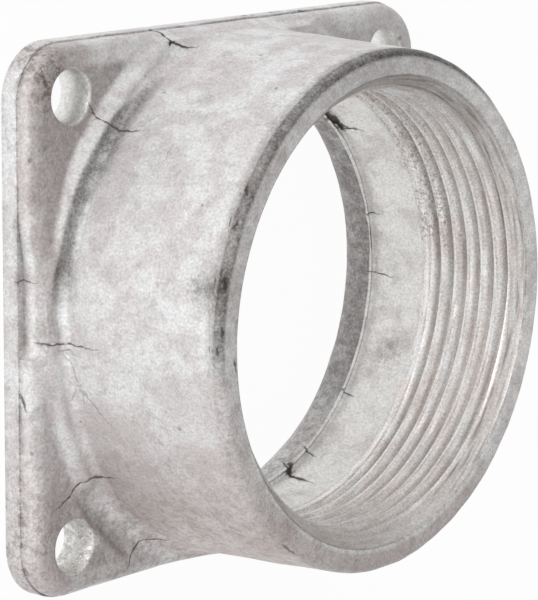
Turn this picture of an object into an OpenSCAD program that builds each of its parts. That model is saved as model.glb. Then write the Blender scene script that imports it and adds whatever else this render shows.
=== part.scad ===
// Bolt-on conduit hub, two-inch trade size, die cast in one piece.
// The rectangular flange bolts to the top wall of an enclosure, and rigid
// conduit screws into the mouth. The origin is the centre of the flange's back
// face, and +Z is the barrel's axis, towards the mouth.

/* [Flange] */
// Width of the flange along X
flange_w = 78.5; // [76:0.5:92]
// Height of the flange along Y
flange_h = 70.6; // [70.6:0.2:88]
// Thickness of the flange
flange_t = 4.9; // [4:0.1:7]
// Radius of the flange's four corners, seen from the front
corner_r = 7.2; // [5:0.1:9]
// Height of the straight band round the flange's edge, up to the parting line
edge_band_h = 2.5; // [1:0.1:2.6]
// How far the die halves step in at the parting line
parting_step = 0.25; // [0.1:0.05:0.6]
// Radius of the rounded shoulder above the parting line
shoulder_r = 2; // [0.8:0.1:2.2]

/* [Mounting holes] */
// From the flange's side edges to the hole centres, which leaves two and a half inches between them
hole_edge_w = 7.5; // [7:0.1:8.4]
// From the flange's long edges to the hole centres, which leaves two and a quarter inches between them
hole_edge_h = 6.725; // [6.5:0.025:7.1]
// Diameter of the screw holes
hole_d = 6.7; // [5:0.1:7.5]
// How far each hole's mouth is broken open by its countersink
hole_break = 0.35; // [0.2:0.05:0.6]

/* [Barrel] */
// Height of the whole hub, from the flange's back to the rim
hub_h = 30.3; // [27:0.1:50]
// Diameter of the barrel where it leaves its root
barrel_base_d = 69; // [68.6:0.1:70]
// Diameter of the barrel at the rim, less than at the base by the draft
barrel_mouth_d = 67.2; // [66:0.1:68.4]
// Radius of the rim's outer edge
lip_r = 1.3; // [0.6:0.1:1.6]
// Radius of the rim's inner edge
rim_inner_r = 0.3; // [0.2:0.05:0.5]

/* [Root ring] */
// Height of the raised ring round the barrel's root, above the flange
ring_h = 1.2; // [0.6:0.1:2.5]
// Width of the ring's flat top, outside the root fillet
ring_top_w = 0.6; // [0.4:0.1:1.2]
// Width of the ring's sloping skirt
ring_skirt_w = 1.5; // [0.8:0.1:2]
// Radius of the fillet between the ring and the barrel
root_fillet_r = 1.2; // [0.8:0.1:2.4]
// How far the ring stays in from the flange's edge
ring_setback = 0.8; // [0.6:0.1:1]

/* [Throat] */
// Diameter of the throat that the wires pass through
throat_d = 54.2; // [50:0.1:55]
// Radius of the bell mouth where the wires enter at the back
entry_r = 4.2; // [2.4:0.1:4.6]
// Height of the throat's web, where the conduit's end stops
web_h = 6.3; // [5:0.1:8]
// Radius of the web's upper edge
web_edge_r = 0.35; // [0.2:0.05:0.6]
// Radius of the fillet between the web and the cored bore
web_fillet_r = 0.7; // [0.4:0.05:0.9]

/* [Conduit socket] */
// Diameter of the cored bore just above the web
cored_d = 56.2; // [56:0.05:56.4]
// Diameter over the thread's crests
crest_d = 56.6; // [56.5:0.05:57.4]
// Length of the thread
thread_l = 13.8; // [11:0.1:15]
// Diameter of the countersink at the rim
mouth_d = 60.4; // [59.6:0.1:61]

/* [Hidden] */
$fn = 180;
// Round edges are drawn with fewer sides
edge_fn = 48;
// A cut runs this far past the face it opens
cut_over = 1;

barrel_base_r = barrel_base_d / 2;
barrel_mouth_r = barrel_mouth_d / 2;
throat_r = throat_d / 2;
cored_r = cored_d / 2;
crest_r = crest_d / 2;
mouth_r = mouth_d / 2;

ring_z = flange_t + ring_h;
ring_r = barrel_base_r + root_fillet_r + ring_top_w;
// The countersink is cut at 45 degrees
countersink_h = mouth_r - crest_r;
rim_z = hub_h - rim_inner_r;
thread_top_z = rim_z - countersink_h;
thread_root_z = thread_top_z - thread_l;

// Disc in a section that is turned later, at r from the axis
module disc_at(r, z, radius) translate([r, z]) circle(r = radius, $fn = edge_fn);

// Rectangle with true arcs at its corners
module rounded_rectangle(w, h, r) {
    square([w, h - 2 * r], center = true);
    square([w - 2 * r, h], center = true);
    for (x = [-1, 1], y = [-1, 1])
        translate([x * (w / 2 - r), y * (h / 2 - r)]) circle(r = r, $fn = edge_fn);
}

// Section through the flange's edge, out from a line that lies corner_r inside it
module edge_section() {
    upper_w = corner_r - parting_step;
    square([corner_r, edge_band_h]);
    square([upper_w, flange_t - shoulder_r]);
    square([upper_w - shoulder_r, flange_t]);
    intersection() {
        disc_at(upper_w - shoulder_r, flange_t - shoulder_r, shoulder_r);
        translate([upper_w - shoulder_r, flange_t - shoulder_r]) square(shoulder_r);
    }
}

// One straight side of the flange's edge, centred on +X
module edge_bar(length)
    translate([0, length / 2, 0]) rotate([90, 0, 0]) linear_extrude(length) edge_section();

// Flange plate: a core, four straight edges and four turned corners
module flange() {
    core_w = flange_w - 2 * corner_r;
    core_h = flange_h - 2 * corner_r;
    translate([-core_w / 2, -core_h / 2, 0]) cube([core_w, core_h, flange_t]);
    for (side = [0, 1]) rotate(side * 180) {
        translate([core_w / 2, 0, 0]) edge_bar(core_h);
        rotate(90) translate([core_h / 2, 0, 0]) edge_bar(core_w);
        translate([core_w / 2, core_h / 2, 0]) rotate_extrude(angle = 90) edge_section();
        translate([-core_w / 2, core_h / 2, 0]) rotate(90)
            rotate_extrude(angle = 90) edge_section();
    }
}

// Raised ring round the root of the barrel, trimmed where it meets the flange's edge
module root_ring() {
    inset = 2 * (parting_step + ring_setback);
    intersection() {
        rotate_extrude() polygon([
            [throat_r, 0], [ring_r + ring_skirt_w, 0],
            [ring_r + ring_skirt_w, flange_t], [ring_r, ring_z], [throat_r, ring_z]
        ]);
        linear_extrude(ring_z + cut_over)
            rounded_rectangle(flange_w - inset, flange_h - inset, corner_r - inset / 2);
    }
}

// Concave fillet where the barrel leaves the ring
module root_fillet() {
    difference() {
        translate([barrel_base_r - root_fillet_r, flange_t])
            square([2 * root_fillet_r, ring_h + root_fillet_r]);
        disc_at(barrel_base_r + root_fillet_r, ring_z + root_fillet_r, root_fillet_r);
    }
}

// Barrel wall with its draft, root fillet and rounded lip, before the bore is cut
module barrel() {
    rotate_extrude() {
        polygon([
            [throat_r, 0], [barrel_base_r, 0], [barrel_base_r, ring_z],
            [barrel_mouth_r, hub_h - lip_r], [throat_r, hub_h - lip_r]
        ]);
        translate([throat_r, ring_z]) square([barrel_mouth_r - lip_r - throat_r, hub_h - ring_z]);
        disc_at(barrel_mouth_r - lip_r, hub_h - lip_r, lip_r);
    }
    intersection() {
        rotate_extrude() root_fillet();
        linear_extrude(hub_h)
            rounded_rectangle(flange_w - 2 * parting_step, flange_h - 2 * parting_step, corner_r);
    }
}

// Everything that is cut from the middle: bell mouth, throat, cored bore and socket
module bore() {
    rotate_extrude() difference() {
        polygon([
            [0, -cut_over],
            [throat_r + entry_r, -cut_over], [throat_r + entry_r, 0],
            [throat_r, entry_r],
            [throat_r, web_h - web_edge_r], [throat_r + web_edge_r, web_h],
            [cored_r - web_fillet_r, web_h], [cored_r, web_h + web_fillet_r],
            [crest_r - parting_step / 2, thread_root_z], [crest_r, thread_root_z],
            [crest_r, thread_top_z],
            [mouth_r, rim_z], [mouth_r + rim_inner_r, hub_h],
            [mouth_r + rim_inner_r, hub_h + cut_over], [0, hub_h + cut_over]
        ]);
        disc_at(throat_r + entry_r, entry_r, entry_r);
    }
}

// Four screw holes, each broken open a little at the front
module screw_holes() {
    for (x = [-1, 1], y = [-1, 1])
        translate([x * (flange_w / 2 - hole_edge_w), y * (flange_h / 2 - hole_edge_h), 0]) {
            translate([0, 0, -cut_over]) cylinder(d = hole_d, h = flange_t + 2 * cut_over);
            translate([0, 0, flange_t - hole_break])
                cylinder(d1 = hole_d, d2 = hole_d + 4 * hole_break, h = 2 * hole_break);
        }
}

// The one casting
module hub_casting() {
    color("#c9c5c1") difference() {
        union() {
            flange();
            root_ring();
            barrel();
        }
        bore();
        screw_holes();
    }
}

hub_casting();
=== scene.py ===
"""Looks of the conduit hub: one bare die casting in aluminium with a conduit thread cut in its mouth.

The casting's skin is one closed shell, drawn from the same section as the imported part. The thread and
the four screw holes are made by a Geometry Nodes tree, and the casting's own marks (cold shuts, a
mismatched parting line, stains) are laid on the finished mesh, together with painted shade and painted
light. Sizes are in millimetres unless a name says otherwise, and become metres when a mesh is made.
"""
import logging
import math
from collections.abc import Callable
from dataclasses import dataclass
from enum import Enum
from functools import partial

import bpy
import numpy as np
from mathutils import Matrix, Vector


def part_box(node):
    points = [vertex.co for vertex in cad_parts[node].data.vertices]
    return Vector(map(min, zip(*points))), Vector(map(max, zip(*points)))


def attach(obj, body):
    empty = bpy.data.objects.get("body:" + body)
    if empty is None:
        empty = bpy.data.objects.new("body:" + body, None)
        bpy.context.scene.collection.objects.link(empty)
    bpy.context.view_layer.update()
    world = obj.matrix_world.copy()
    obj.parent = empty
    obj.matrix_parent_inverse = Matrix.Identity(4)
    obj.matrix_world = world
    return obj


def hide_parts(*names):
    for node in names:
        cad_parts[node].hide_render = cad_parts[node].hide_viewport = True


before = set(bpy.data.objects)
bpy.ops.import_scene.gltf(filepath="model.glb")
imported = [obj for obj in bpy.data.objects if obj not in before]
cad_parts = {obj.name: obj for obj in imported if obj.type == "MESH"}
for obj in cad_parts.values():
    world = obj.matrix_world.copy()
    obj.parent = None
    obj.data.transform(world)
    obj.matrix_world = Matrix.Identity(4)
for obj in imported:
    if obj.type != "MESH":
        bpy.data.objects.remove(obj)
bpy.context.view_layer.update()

log = logging.getLogger("conduit_hub")
MM = 0.001
FULL_TURN = 2 * math.pi
MATH, MAP, MIX, BUMP = "ShaderNodeMath", "ShaderNodeMapRange", "ShaderNodeMix", "ShaderNodeBump"
NOISE, ATTRIBUTE, VECTOR_MATH = "ShaderNodeTexNoise", "ShaderNodeAttribute", "ShaderNodeVectorMath"
COMBINE, SEPARATE = "ShaderNodeCombineXYZ", "ShaderNodeSeparateXYZ"
WHITE = (1.0, 1.0, 1.0, 1.0)
NodeAdder = Callable[..., bpy.types.Node]
Point = tuple[float, float, float]


def linear(hex_colour: str) -> tuple[float, float, float, float]:
    """Turns an sRGB hex colour into Blender's linear RGBA.

    Args:
        hex_colour: six hex digits after a hash.

    Returns:
        Linear red, green and blue, and an alpha of 1.
    """
    channels = [int(hex_colour[i:i + 2], 16) / 255 for i in (1, 3, 5)]
    return (*(c / 12.92 if c <= 0.04045 else ((c + 0.055) / 1.055) ** 2.4 for c in channels), 1.0)


def add_node(tree: bpy.types.NodeTree, kind: str, inputs: dict | tuple = (), **settings) -> bpy.types.Node:
    """Adds one node to a tree, with its settings, and fills or links its inputs.

    Args:
        tree: the node tree.
        kind: the node's type, such as ShaderNodeMath.
        inputs: what its inputs get, in their order, or by name or number. Each is a constant, a socket,
            a node whose first enabled output is meant, or a list of these for one input. A map range
            takes its value, from min, from max, to min and to max in that order.
        **settings: properties of the node.

    Returns:
        The new node.
    """
    node = tree.nodes.new(kind)
    for name, value in settings.items():
        setattr(node, name, value)
    for key, given in inputs.items() if isinstance(inputs, dict) else enumerate(inputs):
        for value in given if isinstance(given, list) else [given]:
            if isinstance(value, bpy.types.Node):
                value = next(socket for socket in value.outputs if socket.enabled)
            if isinstance(value, bpy.types.NodeSocket):
                tree.links.new(value, node.inputs[key])
            else:
                node.inputs[key].default_value = value
    return node


def emptied(owner: bpy.types.Material | bpy.types.World) -> NodeAdder:
    """Empties the shader tree of a material or a world.

    Args:
        owner: the material or the world.

    Returns:
        The node-adding helper of that tree.
    """
    owner.use_nodes = True
    owner.node_tree.nodes.clear()
    return partial(add_node, owner.node_tree)


def in_scene(name: str, data: bpy.types.ID) -> bpy.types.Object:
    """Makes an object and links it to the scene.

    Args:
        name: its name.
        data: its mesh, lamp or camera.

    Returns:
        The object.
    """
    made = bpy.data.objects.new(name, data)
    bpy.context.scene.collection.objects.link(made)
    return made


def smooth_step(low: float, high: float, value: np.ndarray) -> np.ndarray:
    """Rises smoothly from 0 at low to 1 at high.

    Args:
        low: where the rise starts.
        high: where it ends; it may be less than low, for a fall.
        value: where the curve is read.

    Returns:
        The curve's height at each value.
    """
    t = np.clip((value - low) / (high - low), 0.0, 1.0)
    return t * t * (3 - 2 * t)


def window(start: float, end: float, soft: float, value: np.ndarray) -> np.ndarray:
    """Is 1 between start and end and falls to 0 over a soft margin inside both.

    Args:
        start: lower end of the window.
        end: upper end of the window.
        soft: width of each margin.
        value: where the window is read.

    Returns:
        The window's height at each value.
    """
    return smooth_step(start, start + soft, value) * smooth_step(end, end - soft, value)


def soft_max(a: np.ndarray, b: np.ndarray, blend: float) -> np.ndarray:
    """Takes the higher of two heights, with a fillet where they meet.

    Args:
        a: one height.
        b: the other height.
        blend: size of the fillet; a negative one gives the lower height with a rounded edge.

    Returns:
        The blended height.
    """
    h = np.clip(0.5 + 0.5 * (a - b) / blend, 0.0, 1.0)
    return b + (a - b) * h + blend * h * (1 - h)


def ripple(points: np.ndarray, wavelength: float, seed: int) -> np.ndarray:
    """Gives a smooth, even unevenness, as a sum of a few plane waves.

    Args:
        points: where it is read.
        wavelength: distance between its crests.
        seed: which unevenness.

    Returns:
        Values of about -1 to 1.
    """
    draw = np.random.RandomState(seed)
    waves = 14
    directions = draw.normal(size=(waves, 3))
    directions /= np.linalg.norm(directions, axis=1)[:, None]
    lengths = wavelength * draw.uniform(0.7, 1.6, waves)
    phases = draw.uniform(0, FULL_TURN, waves)
    return np.sin(points @ (directions * FULL_TURN / lengths[:, None]).T + phases).sum(1) / math.sqrt(waves)


class Skin(Enum):
    """Which finish a stretch of the casting has, by the material slot's place."""

    AS_CAST = 0
    CUT_THREAD = 1


@dataclass(frozen=True)
class AsCastAluminium:
    """Bare die-cast aluminium, as it leaves the die.

    The oxide skin is dull and blotched: pale patches where the melt froze first, warm grey ones
    where the die lubricant burnt on, fine grain all over, and dark dirt along the parting line. Painted
    shade darkens the corners, the throat and the flange's face, and painted light makes the bore, the
    screw holes and part of the rim paler.
    """

    name: str = "die_cast_aluminium_skin"
    pale: str = "#eaeaea"
    warm: str = "#dedada"
    grey: str = "#cccbca"
    blush_and_shade: str = "#bfb0ad"
    cored: str = "#f6f5f3"
    dirt_and_shade: str = "#5a5856"
    crack: str = "#4a4442"
    brown: str = "#8a7d75"
    patch_mm: float = 4.6
    blotch_mm: float = 1.7
    grain_mm: float = 0.34
    pit_mm: float = 3.2
    crumb_mm: float = 1.1
    roughness_low: float = 0.55
    roughness_high: float = 0.74

    def material(self) -> bpy.types.Material:
        """Builds the as-cast skin.

        Returns:
            The material.
        """
        material = bpy.data.materials.new(self.name)
        add = emptied(material)
        place = add("ShaderNodeTexCoord").outputs["Object"]
        # Scales are turns per metre, so one over the size of a patch, a blotch, a grain or a crumb
        patch, blotch, grain, crumb = (
            add(NOISE, {"Vector": place, "Scale": 1 / (size * MM), "Detail": detail, "Roughness": rough})
            for size, detail, rough in ((self.patch_mm, 3.0, 0.6), (self.blotch_mm, 4.0, 0.65),
                                        (self.grain_mm, 2.0, 0.6), (self.crumb_mm, 4.0, 0.75)))
        blush_and_shade, pale, dirt_and_shade, washed = (add(ATTRIBUTE, attribute_name=name).outputs["Fac"]
                                     for name in ("blush_and_shade", "cored", "dirt_and_shade", "washed"))
        patch_mask = add(MAP, (patch, 0.42, 0.6), interpolation_type="SMOOTHSTEP")
        blotch_mask = add(MAP, (blotch, 0.5, 0.72, 0.0, 0.6), interpolation_type="SMOOTHSTEP")
        # Painted light: the bore, the web's edge, part of the rim and the screw holes are made paler, in
        # patches
        light_patchiness = add(MAP, (patch, 0.36, 0.56, 0.3, 1.1))
        cored = add(MATH, (pale, light_patchiness), operation="MULTIPLY", use_clamp=True)
        skin = linear(self.warm)
        for mask, tone in ((patch_mask, self.pale), (blotch_mask, self.grey), (blush_and_shade, self.blush_and_shade),
                           (cored, self.cored)):
            skin = add(MIX, {0: mask, 6: skin, 7: linear(tone)}, data_type="RGBA")
        # Grain shows as fine lighter and darker points, a tenth or so either way
        grain_tone = add(MAP, (grain, 0.3, 0.7, 0.83, 1.11))
        skin = add(VECTOR_MATH, (skin, grain_tone), operation="MULTIPLY")
        # Dirt and painted shade in the corners break into streaks, so blotches and grain thin them out
        ragged = add(MATH, (add(MAP, (blotch, 0.35, 0.6, 0.84, 1.06)),
                            add(MAP, (grain, 0.3, 0.7, 1.18, 0.82))), operation="MULTIPLY")
        dirt_and_shade_mask = add(MATH, (dirt_and_shade, ragged), operation="MULTIPLY", use_clamp=True)
        # Pin pits: one small dark point in about every third cell
        cells = add("ShaderNodeTexVoronoi", {"Vector": place, "Scale": 1 / (self.pit_mm * MM)})
        chosen = add("ShaderNodeSeparateColor", (cells.outputs["Color"],))
        pit_r = add(MAP, (chosen, 0.62, 1.0, 0.0, 0.11))
        inside = add(MATH, (cells.outputs["Distance"], pit_r), operation="LESS_THAN")
        pit_mask = add(MATH, (inside, 0.4), operation="MULTIPLY")
        # Where the die's edge washed out the skin is crumbly, with brown grains
        crumbs = add(MATH, (add(MAP, (crumb, 0.48, 0.62)), washed), operation="MULTIPLY")
        crack_mask, crack_depth = self.crack_nodes(add, place)
        for mask, tone in ((dirt_and_shade_mask, self.dirt_and_shade), (pit_mask, self.dirt_and_shade), (crumbs, self.brown),
                           (crack_mask, self.crack)):
            skin = add(MIX, {0: mask, 6: skin, 7: linear(tone)}, data_type="RGBA")
        roughness = add(MAP, (blotch, 0.3, 0.7, self.roughness_low, self.roughness_high))
        # Pins leave the screw holes smoother
        roughness = add(MATH, (roughness, add(MAP, (pale, 1.0, 4.0, 1.0, 0.6))), operation="MULTIPLY")
        # Relief, from coarse to fine: shallow blotches, grain, crumbs and the cracks
        crumb_depth = add(MATH, (crumbs, -1.0), operation="MULTIPLY")
        relief = add(BUMP, {"Height": blotch, "Strength": 0.5, "Distance": 0.12 * MM})
        for height, strength, depth in ((grain, 0.55, 0.05), (crumb_depth, 0.8, 0.2),
                                        (crack_depth, 0.8, 0.15)):
            relief = add(BUMP, {"Height": height, "Strength": strength, "Distance": depth * MM,
                                "Normal": relief})
        surface = add("ShaderNodeBsdfPrincipled",
                      {"Base Color": skin, "Metallic": 1.0, "Roughness": roughness, "Normal": relief})
        add("ShaderNodeOutputMaterial", (surface,))
        return material

    def crack_nodes(self, add: NodeAdder,
                    place: bpy.types.NodeSocket) -> tuple[bpy.types.Node, bpy.types.Node]:
        """Adds the hairlines, kept on the mesh as the distance across each line, its reach and its width.

        Args:
            add: the node-adding helper of the material.
            place: object coordinates.

        Returns:
            The node with the mask of the lines, and the node with their height.
        """
        line = add(SEPARATE, (add(ATTRIBUTE, attribute_name="hairline").outputs["Vector"],)).outputs
        # A line wanders by a tenth of a millimetre over each millimetre
        wander = add(NOISE, {"Vector": place, "Scale": 1 / (1.1 * MM), "Detail": 3.0})
        across = add(MATH, (line[0], add(MAP, (wander, 0.0, 1.0, -0.34, 0.34))))
        across = add(MATH, (across,), operation="ABSOLUTE")
        width = add(MATH, (line[1], line[2]), operation="MULTIPLY")
        width = add(MATH, (width, 0.03))
        swell = add(NOISE, {"Vector": place, "Scale": 1 / (0.8 * MM), "Detail": 2.0})
        width = add(MATH, (width, add(MAP, (swell, 0.35, 0.65, 0.5, 2.1))), operation="MULTIPLY")
        core = add(MAP, (across, width, 0.02), interpolation_type="SMOOTHSTEP")
        mask = add(MATH, (core, line[1]), operation="MULTIPLY", use_clamp=True)
        return mask, add(MATH, (mask, -1.0), operation="MULTIPLY")


@dataclass(frozen=True)
class CutThreadAluminium:
    """The same casting where a tap has cut it: brighter and smoother, with fine tool lines.

    At the upper side the tap tore the skin, which left a band of brownish pits over the first turns.
    Painted shade darkens the grooves and the countersink, in the same tone.
    """

    name: str = "tapped_aluminium_thread"
    bright: str = "#fbfaf9"
    dull: str = "#f3edea"
    torn_and_shade: str = "#7d736e"
    patch_mm: float = 5.0
    tool_line_mm: float = 0.3
    grain_mm: float = 0.3
    tear_mm: float = 0.42
    roughness_low: float = 0.34
    roughness_high: float = 0.5

    def material(self) -> bpy.types.Material:
        """Builds the cut thread's finish.

        Returns:
            The material.
        """
        material = bpy.data.materials.new(self.name)
        add = emptied(material)
        place = add("ShaderNodeTexCoord").outputs["Object"]
        axes = add(SEPARATE, (place,)).outputs
        # Tool lines run round the bore: long in the turn's direction, fine along the axis
        turn = add(MATH, (axes[1], axes[0]), operation="ARCTAN2")
        around = add(MATH, (turn, 5.0), operation="MULTIPLY")
        along = add(MATH, (axes[2], 1 / (self.tool_line_mm * MM)), operation="MULTIPLY")
        lines = add(NOISE, {"Vector": add(COMBINE, {0: around, 2: along}), "Scale": 1.0, "Detail": 2.0})
        patch, grain, tears = (
            add(NOISE, {"Vector": place, "Scale": 1 / (size * MM), "Detail": detail, "Roughness": rough})
            for size, detail, rough in ((self.patch_mm, 4.0, 0.65), (self.grain_mm, 2.0, 0.6),
                                        (self.tear_mm, 4.0, 0.75)))
        patch_mask = add(MAP, (patch, 0.4, 0.62), interpolation_type="SMOOTHSTEP")
        skin = add(MIX, {0: patch_mask, 6: linear(self.dull), 7: linear(self.bright)}, data_type="RGBA")
        for tone in (add(MAP, (lines, 0.35, 0.65, 0.8, 1.1)), add(MAP, (grain, 0.3, 0.7, 0.76, 1.16))):
            skin = add(VECTOR_MATH, (skin, tone), operation="MULTIPLY")
        # Where the tap tore the skin the threshold comes down, so that more of the noise shows as pits
        torn_here = add(ATTRIBUTE, attribute_name="pitting").outputs["Fac"]
        beyond = add(MATH, (tears, add(MAP, (torn_here, 0.0, 1.0, 0.72, 0.5))), operation="SUBTRACT")
        tear_mask = add(MAP, (beyond, 0.0, 0.12, 0.0, 0.5), interpolation_type="SMOOTHSTEP")
        # Painted shade lies in the grooves and on the countersink, in long broken streaks
        dirt_and_shade = add(ATTRIBUTE, attribute_name="dirt_and_shade").outputs["Fac"]
        streaks = add(MAP, (lines, 0.4, 0.68, 0.5, 2.4))
        dirt_and_shade_mask = add(MATH, (dirt_and_shade, streaks), operation="MULTIPLY", use_clamp=True)
        for mask in (tear_mask, dirt_and_shade_mask):
            skin = add(MIX, {0: mask, 6: skin, 7: linear(self.torn_and_shade)}, data_type="RGBA")
        roughness = add(MAP, (patch, 0.3, 0.7, self.roughness_low, self.roughness_high))
        torn_depth = add(MATH, (tear_mask, -1.0), operation="MULTIPLY")
        relief = add(BUMP, {"Height": lines, "Strength": 0.35, "Distance": 0.04 * MM})
        relief = add(BUMP, {"Height": torn_depth, "Strength": 0.7, "Distance": 0.12 * MM, "Normal": relief})
        surface = add("ShaderNodeBsdfPrincipled",
                      {"Base Color": skin, "Metallic": 1.0, "Roughness": roughness, "Normal": relief})
        add("ShaderNodeOutputMaterial", (surface,))
        return material


@dataclass(frozen=True)
class Mark:
    """One line or stain on the casting, in the casting's own polar coordinates.

    Attributes:
        points: stations along it, each as radius, angle in degrees and height.
        weight: how strong it is, from 0 to 1.
        half_w: half its width.
    """

    points: tuple[Point, ...]
    weight: float = 1.0
    half_w: float = 0.16

    def stations(self) -> np.ndarray:
        """Gives the stations as x, y, z."""
        r, turn, z = np.array(self.points).T
        return np.stack([r * np.cos(np.radians(turn)), r * np.sin(np.radians(turn)), z], axis=1)


# Hairlines and flash on the outside, where the photograph shows them
COLD_SHUTS = (
    Mark(((39.3, 136.2, 4.9), (37.5, 136.9, 5.1), (36.6, 137.1, 5.9), (35.3, 136.5, 6.2),
          (34.4, 136.2, 7.5), (34.3, 135.5, 10.2)), 0.8),
    Mark(((37.9, 112.3, 2.6), (37.5, 111.7, 3.7), (36.7, 112.2, 5.7), (35.6, 110.3, 6.1),
          (34.6, 107.9, 6.8)), 1.0, 0.22),
    Mark(((37.8, 182.4, 4.9), (36.9, 182.7, 5.6), (35.5, 182.7, 6.1), (34.5, 183.0, 7.3),
          (34.3, 183.3, 10.6)), 0.8),
    Mark(((41.6, 213.3, 4.9), (39.2, 213.9, 4.9), (37.2, 213.0, 5.4), (35.7, 213.6, 6.1),
          (34.6, 215.2, 6.9), (34.4, 214.9, 8.6)), 0.8),
    Mark(((39.7, 236.9, 4.9), (37.4, 236.4, 5.2), (35.8, 236.6, 6.1), (35.0, 237.9, 6.3),
          (34.4, 240.7, 7.9)), 0.8),
    Mark(((35.0, 185.1, 6.3), (34.5, 187.5, 7.0), (34.4, 190.1, 7.3), (34.4, 193.6, 8.7),
          (34.3, 197.9, 10.4), (34.2, 201.4, 12.4)), 0.3, 0.4),
    Mark(((34.1, 138.3, 15.7), (34.1, 141.5, 15.7), (34.1, 144.0, 15.3)), 0.35),
    Mark(((34.8, 191.0, 6.5), (34.5, 192.8, 7.2), (34.9, 194.9, 6.4), (35.8, 195.5, 6.1)), 0.26, 0.4),
    Mark(((39.6, 171.0, 2.4), (39.1, 171.0, 4.1)), 0.6),
    Mark(((40.0, 192.2, 2.9), (40.1, 193.8, 3.3)), 0.8, 0.22),
    Mark(((35.8, 81.4, 1.4), (35.8, 80.2, 1.1)), 0.9, 0.3),
    Mark(((36.1, 78.6, 1.5), (36.1, 77.8, 1.2)), 0.9, 0.22),
    Mark(((37.3, 71.9, 1.0), (37.4, 70.1, 1.4)), 1.0, 0.34),
    Mark(((38.2, 68.0, 1.8), (38.2, 67.0, 1.6)), 0.8, 0.26),
    Mark(((38.7, 66.5, 2.3), (38.8, 65.0, 2.0)), 0.9, 0.34),
    Mark(((48.6, 138.9, 4.6), (47.3, 140.1, 4.9), (45.8, 141.2, 4.9)), 0.55, 0.3),
    Mark(((47.9, 137.0, 4.8), (46.4, 138.5, 4.9), (45.4, 139.9, 4.9)), 0.45, 0.22),
)
# Dark spots on the lip
LIP_SPOTS = (
    Mark(((33.5, 145.1, 29.3), (33.5, 145.7, 29.4)), 0.9, 0.24),
    Mark(((33.4, 152.9, 29.6), (33.4, 153.4, 29.5)), 0.9, 0.24),
    Mark(((33.2, 164.8, 29.8), (33.1, 166.2, 30.0)), 1.0, 0.34),
    Mark(((33.0, 175.2, 30.1), (33.0, 175.8, 30.1)), 0.9, 0.26),
    Mark(((33.3, 179.5, 29.8), (33.3, 180.0, 29.8)), 0.8, 0.22),
    Mark(((30.8, 183.0, 30.3), (30.7, 184.0, 30.3)), 0.9, 0.26),
    Mark(((33.4, 62.0, 29.4), (33.4, 72.0, 29.5)), 0.8, 0.3),
    Mark(((33.4, 44.0, 29.4), (33.4, 50.0, 29.5)), 0.9, 0.35),
    Mark(((33.3, 232.0, 29.6), (33.3, 236.0, 29.7)), 0.6, 0.2),
)
# Gouges across the web's edge
WEB_GOUGES = (
    Mark(((27.5, 53.0, 6.4), (27.8, 43.6, 6.7)), 1.0, 0.42),
    Mark(((27.8, 43.6, 6.7), (28.1, 44.1, 7.9), (28.1, 43.4, 9.6)), 1.0, 0.3),
    Mark(((27.5, 14.4, 6.3), (28.1, 14.2, 7.5)), 0.7, 0.12),
    Mark(((27.4, 357.2, 6.2), (28.1, 356.8, 7.6), (28.1, 356.4, 9.0)), 0.8, 0.12),
    Mark(((27.6, 321.5, 6.2), (28.1, 321.0, 7.3)), 0.7, 0.16),
    Mark(((27.3, 299.4, 6.1), (28.0, 299.0, 6.9)), 0.8, 0.16),
    Mark(((27.5, 291.4, 6.2), (27.9, 288.9, 6.6)), 1.0, 0.42),
    Mark(((27.1, 290.6, 5.4), (28.0, 288.4, 7.0), (28.1, 288.1, 8.6), (28.1, 287.6, 10.9)), 1.0, 0.3),
)


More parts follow.
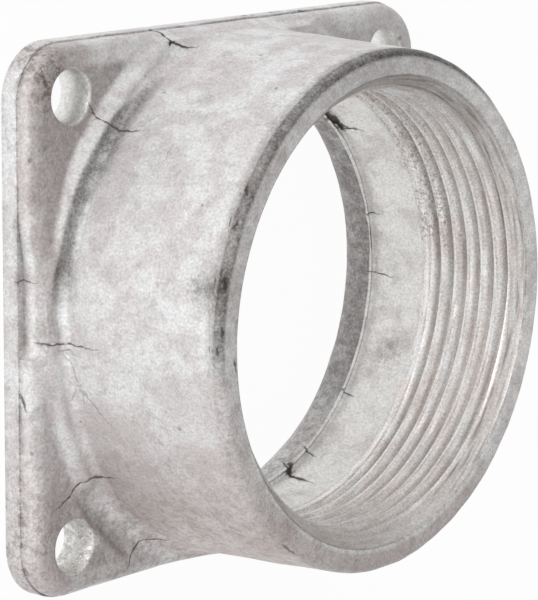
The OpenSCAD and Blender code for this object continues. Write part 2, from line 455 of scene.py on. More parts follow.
@dataclass
class HubCasting:
    """The whole hub: flange, root ring, barrel, bore, conduit thread and four screw holes."""

    flange_t: float = 4.9
    corner_r: float = 7.2
    band_h: float = 2.5
    parting_step: float = 0.25
    shoulder_r: float = 2.0
    hole_edge_w: float = 7.5
    hole_edge_h: float = 6.725
    hole_r: float = 3.35
    hole_break: float = 0.35
    barrel_base_r: float = 34.5
    barrel_mouth_r: float = 33.6
    lip_r: float = 1.3
    rim_inner_r: float = 0.3
    ring_h: float = 1.2
    ring_top_w: float = 0.6
    ring_skirt_w: float = 1.5
    root_fillet_r: float = 1.2
    ring_setback: float = 0.8
    throat_r: float = 27.1
    entry_r: float = 4.2
    web_h: float = 6.3
    web_edge_r: float = 0.28
    cored_r: float = 28.1
    crest_r: float = 28.3
    mouth_r: float = 30.2
    thread_root_z: float = 14.3
    thread_top_z: float = 28.1
    turns_per_inch: float = 11.5
    thread_depth: float = 1.1
    run_out: float = 2.4
    columns: int = 480
    rows_per_turn: int = 9
    skirt_rows: int = 54
    ledge_w: float = 0.95
    ledge_from: float = -3.5
    ledge_to: float = 15.2
    relief_from: float = 214.5
    relief_to: float = 237.0
    relief_in: float = 1.5
    cold_shuts: tuple[Mark, ...] = COLD_SHUTS
    lip_spots: tuple[Mark, ...] = LIP_SPOTS
    web_gouges: tuple[Mark, ...] = WEB_GOUGES

    def __post_init__(self) -> None:
        """Takes the outer sizes from the frame, and works out what follows from them."""
        low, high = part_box("hub_casting")
        self.half_w = (high[0] - low[0]) / 2 / MM
        self.half_h = (high[1] - low[1]) / 2 / MM
        self.hub_h = high[2] / MM
        self.ring_z = self.flange_t + self.ring_h
        self.ring_r = self.barrel_base_r + self.root_fillet_r + self.ring_top_w
        self.rim_z = self.hub_h - self.rim_inner_r
        self.pitch = 25.4 / self.turns_per_inch
        self.turns = np.arange(self.columns) * FULL_TURN / self.columns

    def outline_reach(self, turn: np.ndarray, inset: np.ndarray) -> np.ndarray:
        """Measures how far the flange's rounded rectangle reaches in a direction.

        Args:
            turn: direction from the axis, in radians.
            inset: how far the outline is drawn in.

        Returns:
            Distance from the axis to the outline.
        """
        c, s = np.abs(np.cos(turn)), np.abs(np.sin(turn))
        w, h, r = self.half_w - inset, self.half_h - inset, np.maximum(self.corner_r - inset, 0.05)
        to_side, to_top = w / np.maximum(c, 1e-9), h / np.maximum(s, 1e-9)
        middle = (w - r) * c + (h - r) * s
        gap = np.maximum(middle ** 2 - (w - r) ** 2 - (h - r) ** 2 + r ** 2, 0.0)
        reach = middle + np.sqrt(gap)
        reach = np.where(to_side * s <= h - r, to_side, reach)
        return np.where(to_top * c <= w - r, to_top, reach)

    def edge_distance(self, x: np.ndarray, y: np.ndarray) -> np.ndarray:
        """Measures how far a point lies inside the flange's outline.

        Args:
            x: place along the flange's width.
            y: place along its height.

        Returns:
            Distance to the outline, positive inside.
        """
        qx = np.abs(x) - (self.half_w - self.corner_r)
        qy = np.abs(y) - (self.half_h - self.corner_r)
        outside = np.hypot(np.maximum(qx, 0), np.maximum(qy, 0))
        return self.corner_r - outside - np.minimum(np.maximum(qx, qy), 0)

    def parting_inset(self, turn: np.ndarray) -> np.ndarray:
        """Gives the step in at the parting line, wider where the die halves mismatch on the left side.

        Args:
            turn: direction from the axis, in radians.

        Returns:
            Width of the step.
        """
        y = -self.half_w * np.tan(turn)
        left = (np.cos(turn) < -0.7).astype(float)
        mismatch = (smooth_step(self.ledge_to, self.ledge_to - 9, y)
                    * smooth_step(self.ledge_from, self.ledge_from + 0.5, y))
        return self.parting_step + self.ledge_w * mismatch * left

    def skirt_height(self, r: np.ndarray, turn: np.ndarray, step: np.ndarray) -> np.ndarray:
        """Gives the height of the casting's front between the flange's edge and the barrel.

        Args:
            r: distance from the axis.
            turn: direction from the axis, in radians.
            step: width of the parting step there.

        Returns:
            Height above the back face.
        """
        degrees = np.degrees(turn) % 360
        x, y = r * np.cos(turn), r * np.sin(turn)
        inside = np.maximum(self.edge_distance(x, y) - step, 0.0)
        fall = np.clip(self.shoulder_r - inside, 0.0, self.shoulder_r)
        flange = self.flange_t - self.shoulder_r + np.sqrt(np.maximum(self.shoulder_r ** 2 - fall ** 2, 0.0))
        # The ring draws in beside one screw hole, sinks on the left, and fades at top and bottom
        relief = window(self.relief_from, self.relief_to, 2.5, degrees)
        drawn_in = np.maximum(relief, window(self.relief_to - 6, 300, 3, degrees))
        foot_r = self.ring_r + self.ring_skirt_w - self.relief_in * drawn_in
        below = window(229, 300, 13, degrees)
        fading = window(74, 119, 9, degrees) + below
        sunk = 1 - 0.45 * window(163, 183, 7, degrees) - 0.55 * fading
        slope = self.flange_t + self.ring_h * (foot_r - r) / self.ring_skirt_w
        trim = self.flange_t + (inside - self.ring_setback) * 3.0
        ring_top = self.flange_t + self.ring_h * sunk
        ring = soft_max(np.minimum(slope, trim), ring_top + 0 * r, -0.35)
        height = soft_max(flange, ring, 0.4)
        # A low collar round the hole beside the relief, and a shallow valley between the two
        hole_x, hole_y = -(self.half_w - self.hole_edge_w), -(self.half_h - self.hole_edge_h)
        from_hole = np.hypot(x - hole_x, y - hole_y) - self.hole_r
        bearing = np.degrees(np.arctan2(y - hole_y, x - hole_x))
        height = height + 0.3 * window(0.3, 2.6, 1.0, from_hole) * window(-30, 60, 25, bearing)
        height = height - 0.35 * relief * window(36.6, 39.2, 1.1, r)
        fillet_r = self.root_fillet_r * (1 + 0.9 * fading + 1.1 * below)
        reach = np.clip(self.barrel_base_r + fillet_r - r, 0.0, fillet_r)
        height = height + fillet_r - np.sqrt(np.maximum(fillet_r ** 2 - reach ** 2, 0.0))
        # Where the barrel comes flush with the flange's edge, that edge is rounded too
        cap = self.band_h + 0.4 + (3.6 + 1.6 * below) * np.sqrt(np.clip(inside / 0.8, 0.0, None))
        return np.minimum(height, np.maximum(cap, flange))

    def skirt_rows_at(self, turn: float) -> tuple[np.ndarray, np.ndarray]:
        """Places the rows between the parting line and the barrel, closer together where the section bends.

        Args:
            turn: direction from the axis, in radians.

        Returns:
            Distance from the axis and height of each row.
        """
        step = float(self.parting_inset(np.array([turn]))[0])
        edge = float(self.outline_reach(np.array([turn]), np.array([step]))[0])
        t = np.linspace(0, math.pi, 900)
        r = edge + (self.barrel_base_r - edge) * (1 - np.cos(t)) / 2
        z = self.skirt_height(r, np.full_like(r, turn), step)
        r = np.concatenate([[edge, edge], r])
        z = np.concatenate([[self.band_h, self.band_h + 0.05], z])
        along = np.hypot(np.diff(r), np.diff(z))
        bend = np.abs(np.diff(np.unwrap(np.arctan2(np.diff(z), np.diff(r)))))
        bend = np.concatenate([bend[:1], bend])
        share = along / along.sum() + 0.55 * np.minimum(bend, 0.2) / max(np.minimum(bend, 0.2).sum(), 1e-9)
        walk = np.concatenate([[0], np.cumsum(share)])
        stations = np.linspace(0, walk[-1], self.skirt_rows)
        return np.interp(stations, walk, r), np.interp(stations, walk, z)

    def arc_rows(self, centre_r: float, centre_z: float, radius: float, start: float, end: float,
                 count: int) -> list[tuple[float, float]]:
        """Places rows round an arc of the section.

        Args:
            centre_r: the arc's centre, from the axis.
            centre_z: the arc's centre, above the back face.
            radius: the arc's radius.
            start: first angle in degrees, from the outward direction.
            end: last angle in degrees.
            count: number of rows.

        Returns:
            Distance from the axis and height of each row.
        """
        return [(centre_r + radius * math.cos(a), centre_z + radius * math.sin(a))
                for a in np.radians(np.linspace(start, end, count))]

    def shell_mesh(self) -> bpy.types.Mesh:
        """Builds the casting's skin from the thread's root, round the back and the barrel, to its mouth.

        Returns:
            A mesh that is open where the socket comes.
        """
        cored_end, edge_top = self.web_h + 0.8, self.web_h - self.web_edge_r
        bore = [(self.crest_r, self.thread_root_z), (self.cored_r + 0.14, self.thread_root_z)]
        bore += [(self.cored_r + 0.14 * k / 7, cored_end + (self.thread_root_z - cored_end) * k / 7)
                 for k in range(6, 0, -1)]
        bore += self.arc_rows(self.cored_r - 0.7, self.web_h + 0.55, 0.7, 0, -75, 6)
        bore += [(self.throat_r + 0.44, self.web_h - 0.12)]
        bore += self.arc_rows(self.throat_r + self.web_edge_r, edge_top, self.web_edge_r, 80, 180, 6)
        bore += [(self.throat_r, self.entry_r + (edge_top - self.entry_r) * k / 6) for k in range(5, 0, -1)]
        bore += self.arc_rows(self.throat_r + self.entry_r, self.entry_r, self.entry_r, 180, 270, 12)
        lip = self.arc_rows(self.barrel_mouth_r - self.lip_r, self.hub_h - self.lip_r, self.lip_r, 0, 90, 9)
        rim_in = self.mouth_r + self.rim_inner_r
        lip += [(rim_in + (lip[-1][0] - rim_in) * k / 3, self.hub_h) for k in (2, 1)]
        lip += self.arc_rows(rim_in, self.hub_h - self.rim_inner_r, self.rim_inner_r, 90, 180, 4)
        # A row is one height and distance from the axis for all columns, or one of each for each column
        rows: list[tuple[np.ndarray | float, np.ndarray | float]] = list(bore)
        entry = bore[-1][0]
        edge = self.outline_reach(self.turns, np.zeros(self.columns))
        rows += [(entry + (edge - entry) * share, 0.0) for share in (0.25, 0.5, 0.75, 0.97)]
        rows += [(self.outline_reach(self.turns, np.full(self.columns, inset)), height)
                 for inset, height in ((0.12, 0.0), (0.0, 0.14), (0.0, 0.9), (0.0, 1.7),
                                       (0.0, self.band_h - 0.08), (0.07, self.band_h))]
        skirts = np.array([self.skirt_rows_at(turn) for turn in self.turns])
        rows += [(skirts[:, 0, k], skirts[:, 1, k]) for k in range(self.skirt_rows)]
        # The wall leaves each column's root fillet where that ends
        root_top, wall_top = self.ring_z + self.root_fillet_r, self.hub_h - self.lip_r
        leaves = skirts[:, 1, -1]
        for k in range(1, 18):
            height = leaves + (wall_top - leaves) * k / 18
            drawn_in = np.clip((height - root_top) / (wall_top - root_top), 0.0, 1.0)
            rows.append((self.barrel_base_r + (self.barrel_mouth_r - self.barrel_base_r) * drawn_in, height))
        rows += lip
        cosine, sine = np.cos(self.turns), np.sin(self.turns)
        points = np.concatenate([np.stack(np.broadcast_arrays(r * cosine, r * sine, z), axis=1)
                                 for r, z in rows])
        ring = [(i, (i + 1) % self.columns) for i in range(self.columns)]
        faces = [(a + i, a + j, a + self.columns + j, a + self.columns + i)
                 for a in range(0, (len(rows) - 1) * self.columns, self.columns) for i, j in ring]
        mesh = bpy.data.meshes.new("hub_skin")
        mesh.from_pydata((points * MM).tolist(), [], faces)
        mesh.update()
        return mesh

    def socket_and_holes_tree(self) -> bpy.types.NodeTree:
        """Builds the tree that closes the shell with the threaded socket and drills the screw holes.

        Returns:
            A Geometry Nodes tree whose inputs are the sizes, in metres.
        """
        tree = bpy.data.node_groups.new("conduit_socket_and_screw_holes", "GeometryNodeTree")
        tree.interface.new_socket("Geometry", in_out="OUTPUT", socket_type="NodeSocketGeometry")
        named = {"Geometry": ("Geometry",),
                 "Float": ("Crest Radius", "Thread Depth", "Pitch", "Root End", "Mouth End",
                           "Countersink Start", "Run Out", "Hole Radius", "Hole Spacing X",
                           "Hole Spacing Y", "Plate Top", "Hole Break"),
                 "Int": ("Rows", "Rows Per Turn", "Columns"), "Material": ("Cast Skin", "Cut Thread")}
        for kind, names in named.items():
            for name in names:
                tree.interface.new_socket(name, in_out="INPUT", socket_type="NodeSocket" + kind)
        add = partial(add_node, tree)
        given = add("NodeGroupInput").outputs
        joined = add("GeometryNodeJoinGeometry", ([given["Geometry"], self.thread_nodes(add, given)],))
        closed = add("GeometryNodeMergeByDistance", {"Geometry": joined, "Distance": 2e-6})
        drilled = add("GeometryNodeMeshBoolean",
                      {"Mesh 1": closed, "Mesh 2": self.hole_nodes(add, given), "Hole Tolerant": True},
                      operation="DIFFERENCE", solver="EXACT")
        real = add("GeometryNodeRealizeInstances", (drilled.outputs[0],))
        cast = add("GeometryNodeSetMaterial", {"Geometry": real, "Material": given["Cast Skin"]})
        cut = add("GeometryNodeSetMaterial", {"Geometry": cast, "Selection": self.on_thread_nodes(add, given),
                                              "Material": given["Cut Thread"]})
        add("NodeGroupOutput", (cut,))
        return tree

    def on_thread_nodes(self, add: NodeAdder, given: bpy.types.bpy_prop_collection) -> bpy.types.Node:
        """Adds the choice of the faces that the tap cut: within a socket's width of the axis, above its root.

        Args:
            add: the node-adding helper of the tree.
            given: the tree's inputs.

        Returns:
            The node that is 1 on the thread.
        """
        here = add(SEPARATE, (add("GeometryNodeInputPosition"),)).outputs
        away = add(VECTOR_MATH, (add(COMBINE, (here[0], here[1])),), operation="LENGTH").outputs["Value"]
        widest = add(MATH, (given["Mouth End"], given["Countersink Start"]), operation="SUBTRACT")
        widest = add(MATH, (widest, given["Crest Radius"]))
        near = add(MATH, (away, widest), operation="LESS_THAN")
        above = add(MATH, (here[2], add(MATH, (given["Root End"], 1e-5))), operation="GREATER_THAN")
        return add(MATH, (near, above), operation="MULTIPLY")

    def thread_nodes(self, add: NodeAdder, given: bpy.types.bpy_prop_collection) -> bpy.types.Node:
        """Adds the threaded wall of the socket: a grid whose rows climb the helix, wrapped into a tube.

        Args:
            add: the node-adding helper of the tree.
            given: the tree's inputs.

        Returns:
            The node with the finished wall.
        """
        pitch, root_end, mouth_end = given["Pitch"], given["Root End"], given["Mouth End"]
        grid = add("GeometryNodeMeshGrid", (1.0, 1.0, given["Rows"], add(MATH, (given["Columns"], 1.0))))
        here = add(SEPARATE, (add("GeometryNodeInputPosition"),)).outputs
        row, share = (add(MATH, (axis, 0.5)) for axis in (here[0], here[1]))
        turn = add(MATH, (share, FULL_TURN), operation="MULTIPLY")
        # Rows start one pitch below the root end, climb one pitch a turn, and stop at both ends
        span = add(MATH, (given["Rows"], 1.0), operation="SUBTRACT")
        span = add(MATH, (span, given["Rows Per Turn"]), operation="DIVIDE")
        span = add(MATH, (span, pitch), operation="MULTIPLY")
        climb = add(MATH, (share, pitch), operation="MULTIPLY")
        start = add(MATH, (root_end, pitch), operation="SUBTRACT")
        height = add(MATH, (row, span, start), operation="MULTIPLY_ADD")
        height = add(MATH, (height, climb))
        height = add(MATH, (height, root_end), operation="MAXIMUM")
        height = add(MATH, (height, mouth_end), operation="MINIMUM")
        # Place within the pitch, 0 at one crest's middle and 1 at the next, for a right-hand thread
        phase = add(MATH, (height, pitch), operation="DIVIDE")
        phase = add(MATH, (phase, share), operation="SUBTRACT")
        phase = add(MATH, (phase,), operation="FRACT")
        flank = add(MATH, (phase, 2.0, -1.0), operation="MULTIPLY_ADD")
        flank = add(MATH, (flank,), operation="ABSOLUTE")
        groove = add(MAP, (flank, 0.74, 0.1))
        above = add(MATH, (height, root_end), operation="SUBTRACT")
        fade = add(MAP, (above, 0.0, given["Run Out"]), interpolation_type="SMOOTHSTEP")
        depth = add(MATH, (groove, fade), operation="MULTIPLY")
        radius = add(MATH, (depth, given["Thread Depth"], given["Crest Radius"]), operation="MULTIPLY_ADD")
        # The countersink at 45 degrees takes over where it is wider than the thread, which still marks it
        sunk = add(MATH, (height, given["Countersink Start"]), operation="SUBTRACT")
        sunk = add(MATH, (sunk, given["Crest Radius"]))
        below = add(MATH, (mouth_end, height), operation="SUBTRACT")
        mark = add(MATH, (below, 0.3), operation="MULTIPLY")
        mark = add(MATH, (mark, groove), operation="MULTIPLY")
        sunk = add(MATH, (sunk, mark))
        radius = add(MATH, (radius, sunk), operation="MAXIMUM")
        x, y = (add(MATH, (radius, add(MATH, (turn,), operation=wave)), operation="MULTIPLY")
                for wave in ("COSINE", "SINE"))
        return add("GeometryNodeSetPosition", {"Geometry": grid, "Position": add(COMBINE, (x, y, height))})

    def hole_nodes(self, add: NodeAdder, given: bpy.types.bpy_prop_collection) -> bpy.types.Node:
        """Adds the cutter of the screw holes, one drill and one countersink at each of four corners.

        Args:
            add: the node-adding helper of the tree.
            given: the tree's inputs.

        Returns:
            The node with the four cutters.
        """
        hole_r, hole_break, plate_top = given["Hole Radius"], given["Hole Break"], given["Plate Top"]
        corners = add("GeometryNodeMeshGrid", (given["Hole Spacing X"], given["Hole Spacing Y"], 2, 2))
        length = add(MATH, (plate_top, 4.0), operation="MULTIPLY")
        drill = add("GeometryNodeMeshCylinder", {"Vertices": 64, "Radius": hole_r, "Depth": length})
        # The bevel's cone runs from inside the drill to well above the plate, so that no faces coincide
        narrow = add(MATH, (hole_r, hole_break), operation="SUBTRACT")
        wide = add(MATH, (hole_break, 3.0, hole_r), operation="MULTIPLY_ADD")
        tall = add(MATH, (hole_break, 4.0), operation="MULTIPLY")
        low = add(MATH, (hole_break, -2.0, plate_top), operation="MULTIPLY_ADD")
        bevel = add("GeometryNodeMeshCone",
                    {"Vertices": 64, "Radius Top": wide, "Radius Bottom": narrow, "Depth": tall})
        bevel = add("GeometryNodeTransform",
                    {"Geometry": bevel.outputs["Mesh"], "Translation": add(COMBINE, {2: low})})
        cutter = add("GeometryNodeMeshBoolean", {"Mesh 2": [drill.outputs["Mesh"], bevel]}, operation="UNION",
                     solver="EXACT")
        placed = add("GeometryNodeInstanceOnPoints",
                     {"Points": corners.outputs["Mesh"], "Instance": cutter.outputs[0]})
        return add("GeometryNodeRealizeInstances", (placed,))

    def order_slots(self, mesh: bpy.types.Mesh, finishes: dict[Skin, bpy.types.Material]) -> None:
        """Drops the tree's empty material slot and puts the finishes in the order of Skin.

        Args:
            mesh: the finished mesh.
            finishes: each finish's material.
        """
        place = {material.name: skin.value for skin, material in finishes.items()}
        moved = [place.get(material.name, 0) if material else 0 for material in mesh.materials]
        slots = np.empty(len(mesh.polygons), dtype=np.int32)
        mesh.polygons.foreach_get("material_index", slots)
        mesh.materials.clear()
        for skin in Skin:
            mesh.materials.append(finishes[skin])
        mesh.polygons.foreach_set("material_index", np.array(moved, dtype=np.int32)[slots])

    def build(self, cast_skin: bpy.types.Material, cut_thread: bpy.types.Material) -> bpy.types.Object:
        """Builds the whole casting as one object.

        Args:
            cast_skin: finish of the casting.
            cut_thread: finish of the thread.

        Returns:
            The casting, with its place in its mesh.
        """
        draft = in_scene("hub_draft", self.shell_mesh())
        tree = self.socket_and_holes_tree()
        span = self.rim_z - self.thread_root_z + self.pitch
        rows = math.ceil(span / self.pitch * self.rows_per_turn) + 1
        sizes = {"Crest Radius": self.crest_r, "Thread Depth": self.thread_depth, "Pitch": self.pitch,
                 "Root End": self.thread_root_z, "Mouth End": self.rim_z,
                 "Countersink Start": self.thread_top_z, "Run Out": self.run_out, "Hole Radius": self.hole_r,
                 "Hole Spacing X": 2 * (self.half_w - self.hole_edge_w),
                 "Hole Spacing Y": 2 * (self.half_h - self.hole_edge_h), "Plate Top": self.flange_t,
                 "Hole Break": self.hole_break}
        values = {name: size * MM for name, size in sizes.items()}
        values |= {"Rows": rows, "Rows Per Turn": self.rows_per_turn, "Columns": self.columns,
                   "Cast Skin": cast_skin, "Cut Thread": cut_thread}
        modifier = draft.modifiers.new("socket_and_holes", "NODES")
        modifier.node_group = tree
        for item in tree.interface.items_tree:
            if item.in_out == "INPUT" and item.name in values:
                modifier[item.identifier] = values[item.name]
        evaluated = draft.evaluated_get(bpy.context.evaluated_depsgraph_get())
        mesh = bpy.data.meshes.new_from_object(evaluated)
        bpy.data.objects.remove(draft)
        mesh.name = "conduit_hub_casting"
        self.order_slots(mesh, {Skin.AS_CAST: cast_skin, Skin.CUT_THREAD: cut_thread})
        casting = in_scene("conduit_hub_casting", mesh)
        log.info("casting: %d vertices, %d faces", len(mesh.vertices), len(mesh.polygons))
        return casting


@dataclass
class Studio:
    """A white sweep with a soft lamp, and the camera of the photograph."""

    camera_at: Point = (-331.6, 81.5, 280.8)
    camera_aim: Point = (3.26, -1.58, 7.76)
    camera_up: Point = (0.1434, 0.9820, -0.1229)
    lens: float = 200.05
    floor_half: float = 3000.0
    floor_colour: str = "#f4f4f4"

    def camera(self) -> None:
        """Places the camera: the frame's long side is 600 of 538 by 600, and takes the 36 mm sensor."""
        data = bpy.data.cameras.new("photo_camera")
        data.lens = self.lens
        data.sensor_width = 36.0
        data.clip_start, data.clip_end = 0.01, 20.0
        at, aim = Vector(self.camera_at), Vector(self.camera_aim)
        forward = (aim - at).normalized()
        right = forward.cross(Vector(self.camera_up)).normalized()
        turn = Matrix((right, right.cross(forward), -forward)).transposed()
        camera = in_scene("photo_camera", data)
        camera.matrix_world = Matrix.Translation(at * MM) @ turn.to_4x4()
        bpy.context.scene.camera = camera

    def floor(self) -> None:
        """Lays the floor, which reads white and keeps a faint shadow."""
        half = self.floor_half * MM
        mesh = bpy.data.meshes.new("sweep")
        corners = [(-half, -half), (half, -half), (half, half), (-half, half)]
        mesh.from_pydata([(x, y, -0.05 * MM) for x, y in corners], [], [(0, 1, 2, 3)])
        material = bpy.data.materials.new("matt_white_sweep")
        add = emptied(material)
        paper = add("ShaderNodeBsdfDiffuse", {"Color": linear(self.floor_colour)})
        white = add("ShaderNodeEmission", {"Color": WHITE, "Strength": 1.0})
        # To the camera and in reflections nearly all of it is plain white, and the rest keeps the shadow
        seen = self.seen_nodes(add, "Is Camera Ray", "Is Glossy Ray", "Is Transmission Ray")
        share = add(MATH, (seen, 0.94), operation="MULTIPLY")
        add("ShaderNodeOutputMaterial", (add("ShaderNodeMixShader", (share, paper, white)),))
        mesh.materials.append(material)
        in_scene("sweep", mesh)

    def seen_nodes(self, add: NodeAdder, *kinds: str) -> bpy.types.NodeSocket | bpy.types.Node:
        """Adds nodes that are 1 for some kinds of ray.

        Args:
            add: the node-adding helper of the tree.
            *kinds: names of the light path's outputs.

        Returns:
            The node, or the socket for a single kind.
        """
        path = add("ShaderNodeLightPath").outputs
        seen = path[kinds[0]]
        for kind in kinds[1:]:
            seen = add(MATH, (seen, path[kind]), operation="MAXIMUM")
        return seen

    def lamp(self, name: str, at: Point, size: float, power: float, colour: str) -> None:
        """Hangs one soft square lamp that faces the casting.

        Args:
            name: its name.
            at: its place.
            size: length of its side.
            power: its power in watts.
            colour: its colour.
        """
        data = bpy.data.lights.new(name, "AREA")
        data.shape, data.size, data.energy = "SQUARE", size * MM, power
        data.color = linear(colour)[:3]
        light = in_scene(name, data)
        light.location = Vector(at) * MM
        light.rotation_euler = (Vector((0, 0, 12)) - Vector(at)).to_track_quat("-Z", "Y").to_euler()

    def world(self) -> None:
        """Lights the room: white on the lamp's side, and grey on the far side."""
        world = bpy.data.worlds.new("studio")
        add = emptied(world)
        ray = add("ShaderNodeTexCoord").outputs["Generated"]
        toward = add(VECTOR_MATH, (ray, (-0.96, 0.24, 0.08)), operation="DOT_PRODUCT").outputs["Value"]
        glow = add(MAP, (toward, -0.8, 0.5, 0.42, 1.0), interpolation_type="SMOOTHSTEP")
        room = add("ShaderNodeBackground", {"Color": WHITE, "Strength": glow})
        white = add("ShaderNodeBackground", {"Color": WHITE, "Strength": 1.0})
        seen = self.seen_nodes(add, "Is Camera Ray", "Is Transmission Ray")
        add("ShaderNodeOutputWorld", (add("ShaderNodeMixShader", (seen, room, white)),))
        bpy.context.scene.world = world

    def build(self) -> None:
        """Sets up camera, floor, room and lamp."""
        self.camera()
        self.floor()
        self.world()
        self.lamp("side_lamp", (-820, 420, 60), 900, 4.0, "#fffefc")
        bpy.context.scene.view_settings.view_transform = "Standard"
        log.info("studio ready")


class CastingMarks:
    """What the casting process left on the skin: unevenness, dirt, stains, hairlines and torn thread, and
    also painted shade and painted light.
    """

    def __init__(self, hub: HubCasting, casting: bpy.types.Object) -> None:
        """Reads the finished mesh.

        Args:
            hub: the casting's sizes.
            casting: the finished object.
        """
        self.hub = hub
        self.mesh = casting.data
        flat = np.empty(len(self.mesh.vertices) * 3)
        self.mesh.vertices.foreach_get("co", flat)
        self.points = flat.reshape(-1, 3) / MM
        self.mesh.vertices.foreach_get("normal", flat)
        self.normals = flat.reshape(-1, 3).copy()
        # Views, so they follow the points when roughen moves them
        self.x, self.y, self.z = self.points.T
        self.r = np.hypot(self.x, self.y)
        self.turn = np.degrees(np.arctan2(self.y, self.x)) % 360
        self.inside_bore = (self.r < hub.mouth_r + 0.4) & (self.z > hub.web_h)
        self.outside = self.r > hub.mouth_r + 0.4
        from_hole = np.hypot(np.abs(self.x) - (hub.half_w - hub.hole_edge_w),
                             np.abs(self.y) - (hub.half_h - hub.hole_edge_h))
        self.on_hole = from_hole < hub.hole_r + 0.1

    def roughen(self) -> None:
        """Moves the skin a few hundredths of a millimetre, as a die leaves it, but not the back or thread."""
        free = smooth_step(0.0, 0.6, self.z) * np.where(self.inside_bore, 0.25, 1.0)
        swell = 0.04 * ripple(self.points, 9.0, 11) + 0.02 * ripple(self.points, 3.4, 12)
        self.points += self.normals * (swell * free)[:, None]
        self.mesh.vertices.foreach_set("co", (self.points * MM).ravel())
        self.mesh.update()

    def store(self, name: str, values: np.ndarray, kind: str = "FLOAT") -> None:
        """Keeps one value per vertex on the mesh, for the materials to read.

        Args:
            name: the attribute's name.
            values: one number or vector per vertex.
            kind: the attribute's type.
        """
        layer = self.mesh.attributes.new(name, kind, "POINT")
        key = "value" if kind == "FLOAT" else "vector"
        layer.data.foreach_set(key, np.ascontiguousarray(values, dtype=np.float32).ravel())

    def dirt_and_shade(self) -> np.ndarray:
        """Lays dirt along the parting line and a stain below the lip; painted shade in the root groove, the
        throat, behind the web's edge, on the left ledge, the flange's flat and shoulder, the valley by the
        relief, the thread's grooves, the countersink and the rim's inner edge; and darker bands round the
        lip, on the rim's top and along the upper left edge.

        Returns:
            Dirt and painted shade from 0 to 1 for each vertex.
        """
        hub, r, x, y, z, turn = self.hub, self.r, self.x, self.y, self.z, self.turn
        edge = hub.edge_distance(x, y)
        front = (z > hub.band_h) & ~self.inside_bore
        # Painted shade in the groove beside the ring, wider at the top, where it also climbs the barrel
        start = 35.0 + 1.2 * smooth_step(126, 136, turn) + 0.35 * smooth_step(138, 150, turn)
        low = smooth_step(141, 158, turn)
        root = smooth_step(0.3, -0.3, r - start) * smooth_step(8.4 - 1.1 * low, 6.8 - 0.6 * low, z)
        root = root * front * window(116, 178, 12, turn)
        lip = smooth_step(28.8, 29.2, z) * smooth_step(32.4, 32.8, r)
        lip = lip * (0.12 + 0.88 * window(44, 190, 14, turn))
        stain = np.exp(-((turn - 167) / 3.2) ** 2 - ((z - 27.6) / 1.9) ** 2) * (r > 33)
        broken = 0.35 + 0.65 * smooth_step(-0.3, 0.9, ripple(self.points, 11.0, 31))
        parting = np.exp(-((z - hub.band_h - 0.1) / 0.16) ** 2) * (edge < 1.6) * broken
        # The web's rounded edge, made paler by painted light, lies between the throat, darkened by painted
        # shade, and a painted shadow line behind it
        throat = (r < hub.throat_r + 1.4) & (z > 0.1) & (z < hub.web_h - 0.2)
        throat = throat * (0.15 + 0.39 * window(0, 130, 30, (turn + 60) % 360))
        web = np.exp(-((r - hub.throat_r - 0.47) / 0.08) ** 2) * (np.abs(z - hub.web_h + 0.1) < 0.2)
        # Painted shadow on the ledge of the mismatched parting line on the left
        left_ledge = (x < -hub.half_w + 1.9) & (np.abs(z - hub.band_h) < 0.12)
        left_ledge = left_ledge * window(hub.ledge_from - 0.5, hub.ledge_to, 1.0, y)
        # A painted shadow line where the rim meets the mouth
        rim_edge = np.exp(-((r - hub.mouth_r - 0.15) / 0.12) ** 2) * (z > hub.rim_z - 0.4)
        rim_edge = rim_edge * (0.25 + 0.35 * window(60, 290, 30, turn))
        rim_top = window(58, 125, 20, turn) * (z > hub.rim_z - 0.2) * (r > hub.mouth_r + 0.2)
        # Painted shade also darkens the thread's inner flanks, less at the bottom
        bottom = window(220, 306, 20, turn)
        grooves = smooth_step(hub.crest_r + 0.25, hub.crest_r + 0.9, r) * (r < hub.mouth_r)
        grooves = grooves * window(hub.thread_root_z, 29.0, 0.8, z) * (1 - 0.5 * bottom)
        # Painted shade darkens the countersink, but for a bright line where it starts, beside a painted
        # shadow line
        flare = 0.34 * smooth_step(28.3, 28.6, z) * (r < hub.mouth_r + 0.05) * (1 - 0.7 * bottom)
        flare = flare + 0.4 * np.exp(-((z - 27.85) / 0.14) ** 2) * self.inside_bore
        # Painted shade in the shallow valley beside the relief
        valley = window(hub.relief_from, hub.relief_to, 4, turn) * window(36.3, 39.6, 1.1, r) * front
        top_strip = window(0.4, 3.4, 0.5, edge) * (z > hub.band_h + 0.5) * (x < -33) * smooth_step(14, 18, y)
        total = (0.6 * root + 0.72 * lip + 0.5 * stain + 0.38 * parting + throat + 0.5 * web
                 + 0.15 * left_ledge + rim_edge + 0.24 * grooves + flare + 0.36 * self.plate()
                 + 0.2 * self.left_shoulder() + 0.25 * valley + 0.12 * rim_top + 0.1 * top_strip)
        return np.clip(total, 0.0, 1.0)

    def plate(self) -> np.ndarray:
        """Picks out the flange's flat between its edge and the ring, most of all in the upper left corner,
        where painted shade darkens it.

        Returns:
            Weight from 0 to 1 for each vertex.
        """
        foot = 38.2 - 0.8 * window(146, 215, 12, self.turn)
        flat = smooth_step(2.7, 3.7, self.hub.edge_distance(self.x, self.y)) * (self.z > self.hub.band_h)
        flat = flat * smooth_step(-0.4, 0.4, self.r - foot)
        return flat * (0.32 + 0.68 * smooth_step(-14, -28, self.x) * smooth_step(-6, 6, self.y))

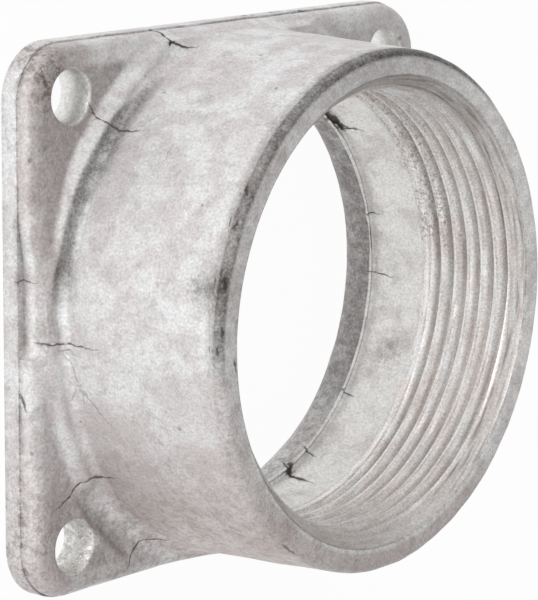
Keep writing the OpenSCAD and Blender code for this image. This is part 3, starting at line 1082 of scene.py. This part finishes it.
    def left_shoulder(self) -> np.ndarray:
        """Picks out the flange's rounded shoulder on the left, inside the light strip along its edge, where
        painted shade and a warm tone darken it.

        Returns:
            Weight from 0 to 1 for each vertex.
        """
        inside = self.hub.edge_distance(self.x, self.y) - self.hub.parting_inset(np.radians(self.turn))
        band = smooth_step(0.15, 0.6, inside) * smooth_step(3.4, 2.6, inside)
        band = band * (self.z > self.hub.band_h + 0.4) * smooth_step(35.0, 36.0, self.r)
        along = 0.4 * smooth_step(-28, -14, self.y) + 0.6 * smooth_step(-5, 0, self.y)
        return band * smooth_step(-25, -33, self.x) * along

    def lower_rim(self) -> np.ndarray:
        """Picks out the stretch of the rim that is warm and crumbly, from the left side to the bottom."""
        return window(100, 320, 30, self.turn)

    def blush_and_shade(self) -> np.ndarray:
        """Lays the warm tone of burnt die lubricant on the underside, the flange's strip and the low rim, and
        painted shade on the flange's flat and the shoulder; the underside's darker tone is partly painted
        shade too.

        Returns:
            Warm tone and painted shade from 0 to 1 for each vertex.
        """
        hub, x, y, z = self.hub, self.x, self.y, self.z
        # The underside is warm and darker towards the bottom, partly as painted shade
        barrel = smooth_step(hub.ring_z - 0.6, hub.ring_z + 0.6, z)
        under = (0.15 + 0.34 * barrel) * smooth_step(-4, -26, y) * self.outside
        strip = window(-0.2, 3.4, 0.5, hub.edge_distance(x, y)) * smooth_step(2.6, 2.9, z) * (self.r > 37)
        strip = strip * (0.15 + 0.85 * smooth_step(-25, -33, x) * smooth_step(11, 17, y))
        strip = np.maximum(strip, 0.6 * self.left_shoulder())
        ring = smooth_step(38.8, 38.0, self.r) * smooth_step(35.9, 36.5, self.r)
        ring = ring * window(132, 178, 12, self.turn)
        patches = smooth_step(0.3, 1.4, ripple(self.points, 14.0, 21)) * self.outside
        rim = self.lower_rim() * (z > hub.rim_z - 0.8) * self.outside
        total = under + 0.38 * strip + 0.45 * self.plate() + 0.12 * ring + 0.16 * patches + 0.1 * rim
        return np.clip(total, 0.0, 1.0)

    def cored(self) -> np.ndarray:
        """Says where light is painted, as a paler skin: the bore, the web's edge, the screw holes and part of
        the rim.

        Returns:
            1 on such a face, more where it is evenly pale, and 0 elsewhere, for each vertex.
        """
        hub = self.hub
        bore = self.inside_bore * smooth_step(hub.web_h, hub.web_h + 0.6, self.z)
        rim = 0.2 + 0.8 * window(-60, 75, 30, (self.turn + 180) % 360 - 180)
        rim = rim * (self.z > hub.rim_z - 0.3) * (self.r > hub.mouth_r)
        web = (np.abs(self.r - hub.throat_r - 0.2) < 0.22) * (self.z > hub.web_h - 0.2)
        return np.maximum.reduce([bore, 4.0 * self.on_hole, rim, web])

    def washed(self) -> np.ndarray:
        """Says where the skin is crumbly: at one corner, at the parting line, the rim, the throat and below.

        Returns:
            Crumbliness from 0 to 1 for each vertex.
        """
        hub, x, y, z, r, turn = self.hub, self.x, self.y, self.z, self.r, self.turn
        wall = r > hub.mouth_r
        corner = 1.4 * np.exp(-((x + 35.3) / 2.3) ** 2 - ((y - 31.2) / 4.0) ** 2)
        edge = 0.28 * np.exp(-((z - hub.band_h) / 0.5) ** 2) * (r > 36)
        rim = (0.16 + 0.1 * self.lower_rim()) * (z > hub.rim_z - 1.2) * wall
        bore = 0.5 * np.exp(-((turn - 335) / 5) ** 2 - ((z - 11) / 2.5) ** 2) * self.inside_bore
        under = 0.4 * smooth_step(-10, -28, y) * smooth_step(29.4, 28.0, z) * wall
        stain = 0.6 * np.exp(-((turn - 167) / 3.6) ** 2 - ((z - 27.0) / 2.2) ** 2) * (r > 33)
        throat = 0.45 * (r < hub.throat_r + 1.4) * (z < hub.web_h - 0.2)
        shoulder = 0.16 * self.left_shoulder()
        return np.clip(corner + edge + rim + bore + under + stain + throat + shoulder, 0.0, 1.0)

    def pitting(self) -> np.ndarray:
        """Says where the tap tore the skin: the first turns at the upper side of the bore.

        Returns:
            Tearing from 0 to 1 for each vertex.
        """
        upper = window(0, 100, 25, (self.turn + 10) % 360)
        return upper * smooth_step(27, 17, self.z) * smooth_step(12.5, 14.5, self.z) * self.inside_bore

    def hairlines(self) -> np.ndarray:
        """Measures each vertex against the hairlines, spots and gouges.

        Returns:
            For each vertex the signed distance across the nearest line, its reach, and half its width.
        """
        result = np.zeros((len(self.points), 3))
        result[:, 0] = 2.0
        nearest = np.full(len(self.points), 1.6)
        for mark in self.hub.cold_shuts + self.hub.lip_spots + self.hub.web_gouges:
            stations = mark.stations()
            last = len(stations) - 2
            for k, (start, run) in enumerate(zip(stations, np.diff(stations, axis=0))):
                length = np.linalg.norm(run)
                share = (self.points - start) @ run / (run @ run)
                inner = np.clip(share, 0, 1)
                offset = self.points - (start + inner[:, None] * run)
                away = np.linalg.norm(offset, axis=1)
                signed = (offset * np.cross(self.normals, run / length)).sum(1)
                # A line fades past both its ends, and a long one also towards them
                past = np.zeros_like(share)
                if k == 0:
                    past = np.maximum(-share * length, 0.3 * (last > 0) * (1 - inner))
                if k == last:
                    past = np.maximum.reduce([past, (share - 1) * length, 0.5 * (last > 0) * inner])
                reach = mark.weight * smooth_step(0.9, 0.0, past) * smooth_step(1.5, 0.9, away)
                closer = away < nearest
                result[closer] = np.stack([signed, reach, np.full_like(share, mark.half_w)], axis=1)[closer]
                nearest[closer] = away[closer]
        result[self.on_hole, 1] = 0.0
        return result

    def apply(self) -> None:
        """Lays every mark on the mesh."""
        self.roughen()
        self.store("dirt_and_shade", self.dirt_and_shade())
        self.store("blush_and_shade", self.blush_and_shade())
        self.store("pitting", self.pitting())
        self.store("cored", self.cored())
        self.store("washed", self.washed())
        self.store("hairline", self.hairlines(), "FLOAT_VECTOR")
        self.mesh.shade_smooth()
        self.mesh.set_sharp_from_angle(angle=math.radians(48))
        log.info("marks laid on %d vertices", len(self.points))


def main() -> None:
    """Builds the hub and its studio."""
    logging.basicConfig(level=logging.INFO, format="%(name)s: %(message)s")
    Studio().build()
    hub = HubCasting()
    casting = hub.build(AsCastAluminium().material(), CutThreadAluminium().material())
    CastingMarks(hub, casting).apply()
    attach(casting, "root")
    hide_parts("hub_casting")


if __name__ == "__main__":
    main()
